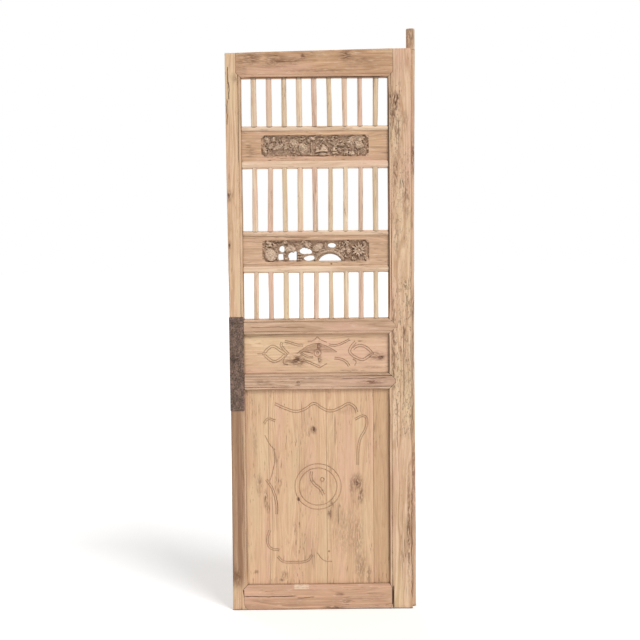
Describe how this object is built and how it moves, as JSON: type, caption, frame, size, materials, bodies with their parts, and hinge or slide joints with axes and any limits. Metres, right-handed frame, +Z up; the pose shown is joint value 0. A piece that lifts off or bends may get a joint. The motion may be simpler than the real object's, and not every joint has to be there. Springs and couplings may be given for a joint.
{
  "type": "pivot-hung wooden door leaf with upright bars and carved boards",
  "caption": "Old elm pivot-hung door leaf: tiers of upright bars between carved boards, a waist panel, a tall skirt panel and a pivot pole down one edge.",
  "frame": {"origin": "on the pivot pole's axis, at the pole's foot", "axes": "+X to the right seen from the carved front, +Y into the leaf from its front, +Z up"},
  "size_m": [0.7005, 0.0735, 2.169],
  "materials": {
    "elm_frame": "worn bare elm",
    "elm_rails": "worn bare elm",
    "elm_bars": "worn bare elm",
    "elm_carving": "worn carved elm",
    "elm_panels": "worn bare elm",
    "wrought_iron": "dark forged iron with rust"
  },
  "bodies": {
    "root": {"lock_stile": "elm_frame", "hinge_stile": "elm_frame", "pivot_pole": "elm_frame", "top_rail": "elm_frame", "upper_waist_rail": "elm_frame", "lower_waist_rail": "elm_frame", "bottom_rail": "elm_frame", "lower_board_foot_rail": "elm_rails", "lower_board_head_rail": "elm_rails", "upper_board_foot_rail": "elm_rails", "upper_board_head_rail": "elm_rails", "lower_carved_board": "elm_carving", "upper_carved_board": "elm_carving", "waist_panel": "elm_panels", "skirt_panel": "elm_panels", "skirt_batten_lower": "elm_panels", "skirt_batten_upper": "elm_panels", "lock_plate": "wrought_iron", "lower_bar_1": "elm_bars", "lower_bar_2": "elm_bars", "lower_bar_3": "elm_bars", "lower_bar_4": "elm_bars", "lower_bar_5": "elm_bars", "lower_bar_6": "elm_bars", "lower_bar_7": "elm_bars", "lower_bar_8": "elm_bars", "lower_bar_9": "elm_bars", "middle_bar_1": "elm_bars", "middle_bar_2": "elm_bars", "middle_bar_3": "elm_bars", "middle_bar_4": "elm_bars", "middle_bar_5": "elm_bars", "middle_bar_6": "elm_bars", "middle_bar_7": "elm_bars", "middle_bar_8": "elm_bars", "middle_bar_9": "elm_bars", "upper_bar_1": "elm_bars", "upper_bar_2": "elm_bars", "upper_bar_3": "elm_bars", "upper_bar_4": "elm_bars", "upper_bar_5": "elm_bars", "upper_bar_6": "elm_bars", "upper_bar_7": "elm_bars", "upper_bar_8": "elm_bars", "upper_bar_9": "elm_bars"}
  },
  "joints": []
}
